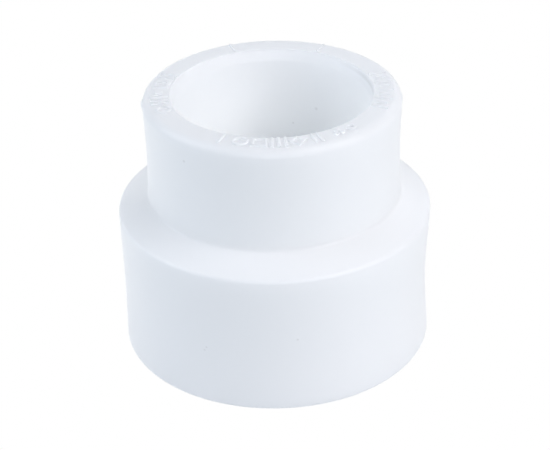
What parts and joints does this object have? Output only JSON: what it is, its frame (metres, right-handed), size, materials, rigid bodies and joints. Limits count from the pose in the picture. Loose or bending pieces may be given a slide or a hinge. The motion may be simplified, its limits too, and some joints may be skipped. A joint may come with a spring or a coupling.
{
  "type": "concentric pipe reducer",
  "caption": "White plastic socket-fusion reducer: a small and a large pipe socket on one axis, joined by a short conical shoulder, with a waterway through.",
  "frame": {"origin": "centre of the large socket's mouth face, on the surface that the fitting stands on", "axes": "+Z along the pipe axis, from the large socket to the small socket"},
  "size_m": [0.0512, 0.0512, 0.0438],
  "materials": {
    "white_polypropylene": "satin moulded white polypropylene, slightly cool and slightly translucent"
  },
  "bodies": {
    "root": {"reducer_body": "white_polypropylene"}
  },
  "joints": []
}
